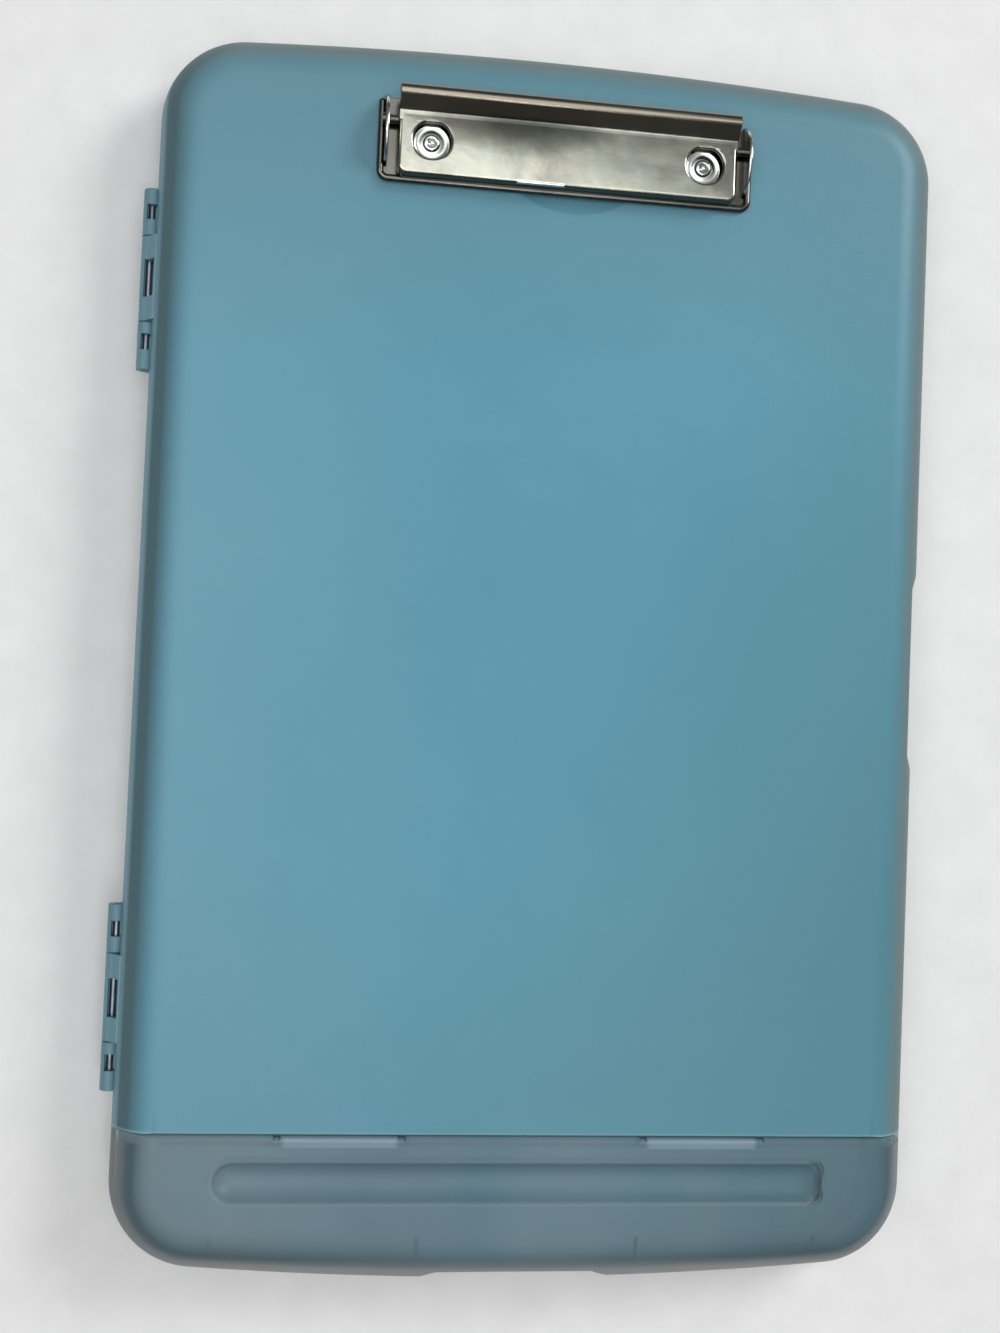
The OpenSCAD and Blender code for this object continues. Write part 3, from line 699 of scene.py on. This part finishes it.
def ramp(nt, fac, stops):
    n = nt.nodes.new("ShaderNodeValToRGB")
    el = n.color_ramp.elements
    while len(el) < len(stops):
        el.new(0.5)
    for e, (p, c) in zip(el, stops):
        e.position = p
        e.color = c
    nt.links.new(fac, n.inputs["Fac"])
    return n.outputs["Color"]


def map_range(nt, value, a, b, c, d):
    n = nt.nodes.new("ShaderNodeMapRange")
    nt.links.new(value, n.inputs["Value"])
    for key, v in zip(("From Min", "From Max", "To Min", "To Max"), (a, b, c, d)):
        n.inputs[key].default_value = v
    return n.outputs["Result"]


def bump(nt, height, strength, distance, normal=None):
    n = nt.nodes.new("ShaderNodeBump")
    n.inputs["Strength"].default_value = strength
    n.inputs["Distance"].default_value = distance
    nt.links.new(height, n.inputs["Height"])
    if normal is not None:
        nt.links.new(normal, n.inputs["Normal"])
    return n.outputs["Normal"]


def object_coords(nt):
    return nt.nodes.new("ShaderNodeTexCoord").outputs["Object"]


def number(nt, operation, a, b=None, clamp=False):
    n = nt.nodes.new("ShaderNodeMath")
    n.operation = operation
    n.use_clamp = clamp
    for socket, v in zip(n.inputs, (a, b)):
        if v is None:
            continue
        if isinstance(v, (int, float)):
            socket.default_value = v
        else:
            nt.links.new(v, socket)
    return n.outputs[0]


def blend_colour(nt, fac, a, b):
    n = nt.nodes.new("ShaderNodeMix")
    n.data_type = "RGBA"
    for socket, v in ((n.inputs[0], fac), (n.inputs[6], a), (n.inputs[7], b)):
        if isinstance(v, tuple):
            socket.default_value = v
        else:
            nt.links.new(v, socket)
    return n.outputs[2]


def split_xyz(nt, vector):
    n = nt.nodes.new("ShaderNodeSeparateXYZ")
    nt.links.new(vector, n.inputs[0])
    return n.outputs


def steepness(nt, lo, hi, amount):
    """How far a surface has turned away from the piece's flat top, 0 on the top."""
    normal = nt.nodes.new("ShaderNodeTexCoord").outputs["Normal"]
    up = number(nt, "ABSOLUTE", split_xyz(nt, normal)[2])
    return map_range(nt, up, lo, hi, amount, 0.0)


def stretched(nt, co, scale):
    n = nt.nodes.new("ShaderNodeMapping")
    n.inputs["Scale"].default_value = scale
    nt.links.new(co, n.inputs["Vector"])
    return n.outputs["Vector"]


def shell_material(name, base, dark, light, rim, seam_highlight=False, painted_sides=None):
    """Moulded polypropylene: soft mottling, fine grain, and a painted greyer, darker shade where the shell turns down.
    """
    m, nt, bsdf = material(name)
    co = object_coords(nt)
    broad = noise(nt, 9.0, 4.0, 0.6, 0.3, co)
    colour = ramp(nt, broad, [(0.30, srgb(*dark)), (0.50, srgb(*base)), (0.70, srgb(*light))])
    patch = noise(nt, 55.0, 4.0, 0.6, 0.2, co)
    colour = blend_colour(nt, map_range(nt, patch, 0.35, 0.75, 0.0, 0.16), colour, srgb(*light))
    if painted_sides:
        # painted light: paler towards the hinges; painted shade: deeper towards the free corner
        x, y, z = split_xyz(nt, co)
        colour = blend_colour(nt, map_range(nt, x, -0.115, -0.025, 0.85, 0.0), colour, srgb(*painted_sides[0]))
        lean = number(nt, "ADD", number(nt, "MULTIPLY", x, 0.8), number(nt, "MULTIPLY", y, -0.35))
        colour = blend_colour(nt, map_range(nt, lean, 0.01, 0.115, 0.0, 0.97), colour, srgb(*painted_sides[1]))
        # painted shade: greyer towards the seam
        colour = blend_colour(nt, map_range(nt, y, -0.140, -0.060, 0.4, 0.0), colour, srgb(92, 145, 160))
        # painted shade: greyer past the clip
        colour = blend_colour(nt, map_range(nt, y, 0.085, 0.172, 0.0, 0.75), colour, srgb(*painted_sides[2]))
    x, y, z = split_xyz(nt, co)
    # painted light: a paler, greyer teal beyond x = -118 mm, mostly the hinge knuckles
    colour = blend_colour(nt, map_range(nt, x, -0.1184, -0.1174, 0.6, 0.0), colour, srgb(122, 158, 168))
    # painted shade on the turned-down faces, darker still along the left side and weaker on the hinge knuckles; rim is
    # the colour of this painted shade
    turned_down_shade = number(nt, "MULTIPLY", steepness(nt, 0.78, 0.991, 0.95), map_range(nt, x, -0.1184, -0.1174, 0.15, 1.0))
    shade = blend_colour(nt, map_range(nt, x, -0.118, -0.098, 1.0, 0.0), srgb(*rim), srgb(rim[0] - 30, rim[1] - 18, rim[2] - 9))
    colour = blend_colour(nt, turned_down_shade, colour, shade)
    nt.links.new(map_range(nt, turned_down_shade, 0.0, 0.95, 0.5, 0.12), bsdf.inputs["Specular IOR Level"])
    if seam_highlight:
        # painted highlight: a pale thin line along the seam edge
        x, y, z = split_xyz(nt, co)
        colour = blend_colour(nt, map_range(nt, y, -0.1398, -0.1390, 0.55, 0.0), colour, srgb(150, 196, 208))
    nt.links.new(colour, bsdf.inputs["Base Color"])
    grain = noise(nt, 1400.0, 2.0, 0.6, 0.0, co)
    dimple = noise(nt, 260.0, 3.0, 0.55, 0.0, co)
    rough = map_range(nt, noise(nt, 60.0, 3.0, 0.6, 0.0, co), 0.3, 0.7, 0.42, 0.47)
    nt.links.new(rough, bsdf.inputs["Roughness"])
    first = bump(nt, dimple, 0.10, 0.0004)
    nt.links.new(bump(nt, grain, 0.22, 0.0002, first), bsdf.inputs["Normal"])
    bsdf.inputs["IOR"].default_value = 1.49
    bsdf.inputs["Subsurface Weight"].default_value = 0.10
    bsdf.inputs["Subsurface Radius"].default_value = (0.0018, 0.0030, 0.0036)
    bsdf.inputs["Subsurface Scale"].default_value = 1.0
    return m


def lid_material():
    """Smoky translucent polypropylene. It lets part of the view through, less
    so where the shell turns down and along the two thick hinge barrels."""
    m, nt, bsdf = material("smoky_lid")
    co = object_coords(nt)
    x, y, z = split_xyz(nt, co)
    broad = noise(nt, 9.0, 3.0, 0.55, 0.2, co)
    colour = ramp(nt, broad, [(0.30, srgb(134, 170, 186)), (0.50, srgb(144, 180, 196)), (0.70, srgb(156, 188, 202))])
    # painted reflection: soft pale streaks stretched along Y
    streak_reflection = noise(nt, 1.0, 3.0, 0.6, 0.3, stretched(nt, co, (26.0, 7.0, 7.0)))
    colour = blend_colour(nt, map_range(nt, streak_reflection, 0.42, 0.72, 0.0, 0.35), colour, srgb(186, 200, 204))
    # painted light: paler over the left part; painted shade: deeper teal over the right part
    colour = blend_colour(nt, map_range(nt, x, -0.112, 0.0, 0.42, 0.0), colour, srgb(196, 208, 212))
    colour = blend_colour(nt, map_range(nt, x, 0.02, 0.11, 0.0, 0.5), colour, srgb(112, 156, 168))
    # painted highlight along the thick barrels of the hinge, which are also made more opaque
    across = number(nt, "ABSOLUTE", number(nt, "SUBTRACT", number(nt, "ABSOLUTE", x), 0.0538))
    along = number(nt, "ABSOLUTE", number(nt, "SUBTRACT", y, -0.14215))
    barrel_highlight = number(nt, "MULTIPLY", map_range(nt, across, 0.0158, 0.0174, 1.0, 0.0), map_range(nt, along, 0.0009, 0.0018, 1.0, 0.0))
    colour = blend_colour(nt, number(nt, "MULTIPLY", barrel_highlight, 0.75), colour, srgb(180, 208, 222))
    # distance from the middle line of the pen groove, for its rim
    half = math.sqrt(GROOVE_R ** 2 - (GROOVE_R - GROOVE_D) ** 2) / 1000
    gx = number(nt, "SUBTRACT", x, number(nt, "MINIMUM", number(nt, "MAXIMUM", x, GX1 / 1000 + half), GX2 / 1000 - half))
    gy = number(nt, "SUBTRACT", y, GY / 1000)
    away = number(nt, "SQRT", number(nt, "ADD", number(nt, "MULTIPLY", gx, gx), number(nt, "MULTIPLY", gy, gy)))
    # painted highlight: a pale line along the groove's rim, which is also made more opaque
    rim = map_range(nt, number(nt, "ABSOLUTE", number(nt, "SUBTRACT", away, half + 0.0002)), 0.0001, 0.0007, 0.55, 0.0)
    colour = blend_colour(nt, rim, colour, srgb(178, 196, 204))
    # painted shade: deep teal where the shell starts to turn down; smoky grey on its lowest part, partly for the
    # thicker plastic and partly painted light from the floor seen through it
    beside = number(nt, "MULTIPLY", map_range(nt, away, half + 0.0005, half + 0.0012, 0.0, 1.0), map_range(nt, y, -0.1432, -0.1424, 1.0, 0.0))
    shoulder = number(nt, "MULTIPLY", steepness(nt, 0.88, 0.985, 1.0), beside)
    skirt = number(nt, "MULTIPLY", steepness(nt, 0.70, 0.82, 1.0), beside)
    colour = blend_colour(nt, number(nt, "MULTIPLY", shoulder, 0.85), colour, srgb(84, 112, 122))
    colour = blend_colour(nt, skirt, colour, srgb(138, 145, 148))
    # painted light: a paler front end of the skirt
    end = number(nt, "MULTIPLY", map_range(nt, y, -0.1800, -0.1760, 0.8, 0.0), beside)
    colour = blend_colour(nt, end, colour, srgb(176, 178, 180))
    nt.links.new(colour, bsdf.inputs["Base Color"])
    nt.links.new(map_range(nt, skirt, 0.0, 1.0, 0.5, 0.15), bsdf.inputs["Specular IOR Level"])
    fine = noise(nt, 900.0, 2.0, 0.6, 0.0, co)
    rough = map_range(nt, noise(nt, 50.0, 3.0, 0.6, 0.0, co), 0.3, 0.7, 0.34, 0.44)
    nt.links.new(rough, bsdf.inputs["Roughness"])
    nt.links.new(bump(nt, fine, 0.12, 0.0002), bsdf.inputs["Normal"])
    bsdf.inputs["IOR"].default_value = 1.45
    bsdf.inputs["Transmission Weight"].default_value = 0.18
    clear = nt.nodes.new("ShaderNodeBsdfTransparent")
    clear.inputs["Color"].default_value = (0.84, 0.88, 0.89, 1.0)
    solid = number(nt, "ADD", 0.38, number(nt, "MULTIPLY", shoulder, 0.26))
    solid = number(nt, "ADD", solid, number(nt, "MULTIPLY", skirt, 0.14))
    solid = number(nt, "ADD", solid, number(nt, "MULTIPLY", barrel_highlight, 0.16))
    solid = number(nt, "ADD", solid, number(nt, "MULTIPLY", rim, 0.2), clamp=True)
    both = nt.nodes.new("ShaderNodeMixShader")
    nt.links.new(solid, both.inputs[0])
    nt.links.new(clear.outputs[0], both.inputs[1])
    nt.links.new(bsdf.outputs[0], both.inputs[2])
    nt.links.new(both.outputs[0], nt.nodes["Material Output"].inputs["Surface"])
    return m


def metal_material(name, base, rough_lo, rough_hi, scale=30.0, mottle=0.5, warm=None, edge=None, roll=None, dark_reflection_patch=None, seat_highlight=None):
    """Plated or drawn metal: cloudy patches, uneven polish and fine drawing marks along X."""
    m, nt, bsdf = material(name)
    co = object_coords(nt)
    broad = noise(nt, scale, 5.0, 0.62, 0.6, co)
    lo = tuple(max(0, c * (1 - 0.24 * mottle)) for c in base)
    colour = ramp(nt, broad, [(0.34, srgb(*lo)), (0.62, srgb(*base))])
    if warm:
        stain = noise(nt, scale * 1.7, 4.0, 0.65, 0.8, stretched(nt, co, (0.7, 1.3, 1.0)))
        colour = blend_colour(nt, map_range(nt, stain, 0.50, 0.66, 0.0, 0.75), colour, srgb(*warm))
    x, y, z = split_xyz(nt, co)
    if dark_reflection_patch:
        # painted dark reflection: a darker patch on the flat of the jaw, left of its middle and along the step
        u = number(nt, "MULTIPLY", number(nt, "SUBTRACT", x, -0.017), 1 / 0.024)
        v = number(nt, "MULTIPLY", number(nt, "SUBTRACT", y, 0.1575), 1 / 0.0085)
        away = number(nt, "ADD", number(nt, "MULTIPLY", u, u), number(nt, "MULTIPLY", v, v))
        away = number(nt, "ADD", away, number(nt, "MULTIPLY", broad, 1.2))
        colour = blend_colour(nt, map_range(nt, away, 0.6, 1.9, 0.97, 0.0), colour, srgb(*dark_reflection_patch))
    if edge:
        # painted dark reflection: steep faces turn darker the further they turn from the top
        colour = blend_colour(nt, steepness(nt, 0.45, 0.93, 0.85), colour, srgb(*edge))
    if roll:
        # painted dark reflection on the rolled thumb edge behind y = 159.2 mm
        colour = blend_colour(nt, map_range(nt, y, 0.1592, 0.1602, 0.0, 0.85), colour, srgb(*roll))
        # painted highlight: a near-white glint on the thin round ridge along the front edge
        u = number(nt, "ABSOLUTE", number(nt, "SUBTRACT", x, -0.00765))
        front_glint = number(nt, "MULTIPLY", map_range(nt, u, 0.0070, 0.0074, 1.0, 0.0), map_range(nt, y, 0.14140, 0.14152, 1.0, 0.0))
        front_glint = number(nt, "MULTIPLY", front_glint, map_range(nt, z, (T + 5.4) / 1000, (T + 5.6) / 1000, 0.0, 1.0))
        colour = blend_colour(nt, front_glint, colour, srgb(254, 254, 252))
    if seat_highlight:
        # painted highlight: brighter cups round the rivets, and brighter metal above 3.5 mm over the cover, mostly the
        # arched ears
        u = number(nt, "SUBTRACT", number(nt, "ABSOLUTE", number(nt, "SUBTRACT", x, CLIP_X / 1000)), RIVET_P / 2000)
        v = number(nt, "SUBTRACT", y, RIVET_Y / 1000)
        away = number(nt, "SQRT", number(nt, "ADD", number(nt, "MULTIPLY", u, u), number(nt, "MULTIPLY", v, v)))
        colour = blend_colour(nt, map_range(nt, away, 0.0054, 0.0057, 0.92, 0.0), colour, srgb(*seat_highlight))
        colour = blend_colour(nt, map_range(nt, z, (T + 3.1) / 1000, (T + 3.5) / 1000, 0.0, 0.8), colour, srgb(*seat_highlight))
    nt.links.new(colour, bsdf.inputs["Base Color"])
    rough = map_range(nt, noise(nt, scale * 2.3, 4.0, 0.6, 0.3, co), 0.3, 0.7, rough_lo, rough_hi)
    nt.links.new(rough, bsdf.inputs["Roughness"])
    first = bump(nt, noise(nt, scale * 1.6, 2.0, 0.5, 0.2, co), 0.06, 0.0006)
    marks = noise(nt, 1.0, 3.0, 0.6, 0.0, stretched(nt, co, (60.0, 2600.0, 2600.0)))
    nt.links.new(bump(nt, marks, 0.04, 0.0002, first), bsdf.inputs["Normal"])
    bsdf.inputs["Metallic"].default_value = 1.0
    return m


# the last colour given to each shell is its painted shade for the turned-down faces; the cover's painted_sides are
# painted light and shade
shell_tray = shell_material("tray_plastic", (86, 143, 161), (82, 138, 156), (93, 148, 165), (98, 116, 118))
shell_cover = shell_material("cover_plastic", (84, 153, 176), (80, 149, 172), (90, 157, 179), (110, 128, 128), seam_highlight=True, painted_sides=((102, 160, 181), (82, 138, 152), (99, 140, 152)))
lid_plastic = lid_material()
# on the jaw, edge, roll and dark_reflection_patch are painted dark reflections, and the glint on the front ridge a
# painted highlight
nickel = metal_material("nickel_plate", (190, 193, 181), 0.13, 0.24, 34.0, 1.0, warm=(198, 194, 174), edge=(72, 69, 64), roll=(140, 133, 119), dark_reflection_patch=(84, 87, 82))
# painted shade: the base plate is a darker copy of the jaw's plating, with painted dark reflection on its steep faces
shaded_nickel_base = metal_material("nickel_base_plate", (118, 117, 110), 0.14, 0.24, 34.0, 1.0, edge=(84, 80, 76), seat_highlight=(226, 228, 224))
rivet_metal = metal_material("rivet_plate", (222, 223, 222), 0.10, 0.18, 80.0, 0.6)
wire = metal_material("drawn_wire", (180, 180, 182), 0.22, 0.34, 120.0, 0.6)
pin_wire = metal_material("hinge_pin_wire", (146, 152, 160), 0.30, 0.42, 120.0, 0.8)
# painted shade: a darker copy of the drawn wire for the pivot rod, which lies under the jaw
shaded_rod_wire = metal_material("shaded_rod", (112, 110, 106), 0.22, 0.34, 120.0, 0.6)
spring_wire = metal_material("spring_wire", (130, 130, 132), 0.25, 0.4, 120.0, 0.6)


def paint(ob, m):
    ob.data.materials.clear()
    ob.data.materials.append(m)


paint(tray, shell_tray)
paint(cover, shell_cover)
paint(lid, lid_plastic)
paint(clip_base, shaded_nickel_base)
paint(clip_jaw, nickel)
paint(rivet_l, rivet_metal)
paint(rivet_r, rivet_metal)
for node, m in (("hinge_pin_upper", pin_wire), ("hinge_pin_lower", pin_wire), ("pen_lid_pin_left", wire), ("pen_lid_pin_right", wire),
                ("clip_pivot_rod", shaded_rod_wire), ("clip_spring", spring_wire), ("clip_washer_left", wire), ("clip_washer_right", wire)):
    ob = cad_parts[node]
    for i in range(len(ob.material_slots)):
        ob.material_slots[i].material = m

# ======================================================================
# Floor, light and camera
# ======================================================================
floor_mesh = bpy.data.meshes.new("floor")
floor_mesh.from_pydata([(-3, -3, 0), (3, -3, 0), (3, 3, 0), (-3, 3, 0)], [], [(0, 1, 2, 3)])
floor = bpy.data.objects.new("floor", floor_mesh)
floor.location = (0, 0, -0.0002)
scene.collection.objects.link(floor)
m, nt, bsdf = material("pale_floor")
co = object_coords(nt)
spots = noise(nt, 60.0, 5.0, 0.6, 0.3, co)
nt.links.new(ramp(nt, spots, [(0.25, srgb(238, 238, 238)), (0.75, srgb(246, 246, 246))]), bsdf.inputs["Base Color"])
bsdf.inputs["Roughness"].default_value = 0.9
bsdf.inputs["Specular IOR Level"].default_value = 0.2
floor_mesh.materials.append(m)

# A soft dome that is brightest overhead and dark towards the horizon
world = bpy.data.worlds.new("studio")
scene.world = world
world.use_nodes = True
wt = world.node_tree
dome = split_xyz(wt, wt.nodes.new("ShaderNodeTexCoord").outputs["Generated"])[2]
sky = ramp(wt, map_range(wt, dome, -0.1, 1.0, 0.0, 1.0),
           [(p, (v, v, v * 1.01, 1.0)) for p, v in ((0.0, 0.04), (0.45, 0.10), (0.80, 0.22), (0.89, 0.40), (0.95, 0.70), (1.0, 0.80))])
wt.links.new(sky, wt.nodes["Background"].inputs["Color"])
wt.nodes["Background"].inputs["Strength"].default_value = 1.0


def area(name, location, target, size_x, size_y, power, colour=(1, 1, 1)):
    data = bpy.data.lights.new(name, "AREA")
    data.shape = "RECTANGLE"
    data.size, data.size_y = size_x, size_y
    data.energy = power
    data.color = colour
    ob = bpy.data.objects.new(name, data)
    ob.location = location
    ob.rotation_mode = "QUATERNION"
    ob.rotation_quaternion = (Vector(target) - Vector(location)).to_track_quat("-Z", "Y")
    scene.collection.objects.link(ob)
    return ob


area("key", (-0.38, -0.12, 2.0), (0.0, 0.0, 0.0), 2.1, 2.1, 15.0, (1.0, 0.995, 0.985))
area("side", (1.7, 1.2, 1.5), (0.0, 0.0, 0.0), 0.9, 0.9, 28.0, (1.0, 1.0, 1.0))
area("strip", (0.22, -0.95, 1.5), (0.0, 0.14, 0.03), 0.063, 0.9, 1.5, (1.0, 1.0, 1.0))
area("glint", (-0.70, 0.1, 1.12), (-0.1, 0.0, 0.0), 0.10, 1.1, 1.3, (1.0, 1.0, 1.0))

scene.view_settings.view_transform = "Standard"
scene.view_settings.look = "None"
scene.view_settings.exposure = 0.0
scene.view_settings.gamma = 1.0

# Camera: a pose and focal length worked out from the outline in the photograph.
FOCAL, PX = 1536.98, 1333.0
rot = Vector((-0.0335591, -0.1385501, 0.0439271))
shift = Vector((9.05981, -0.83808, 484.71916))
angle = rot.length
R = Matrix.Rotation(angle, 3, rot.normalized()) @ Matrix.Diagonal((1, -1, -1))
cam_data = bpy.data.cameras.new("camera")
cam = bpy.data.objects.new("camera", cam_data)
scene.collection.objects.link(cam)
scene.camera = cam
cam_data.sensor_fit = "AUTO"
cam_data.sensor_width = 36.0
cam_data.lens = FOCAL / PX * 36.0
cam_data.clip_start = 0.01
cam_data.clip_end = 20.0
place = -(R.transposed() @ shift) * 0.001
right, down, forward = R.row[0], R.row[1], R.row[2]
basis = Matrix((right, -down, -forward)).transposed().to_4x4()
cam.matrix_world = Matrix.Translation(place) @ basis
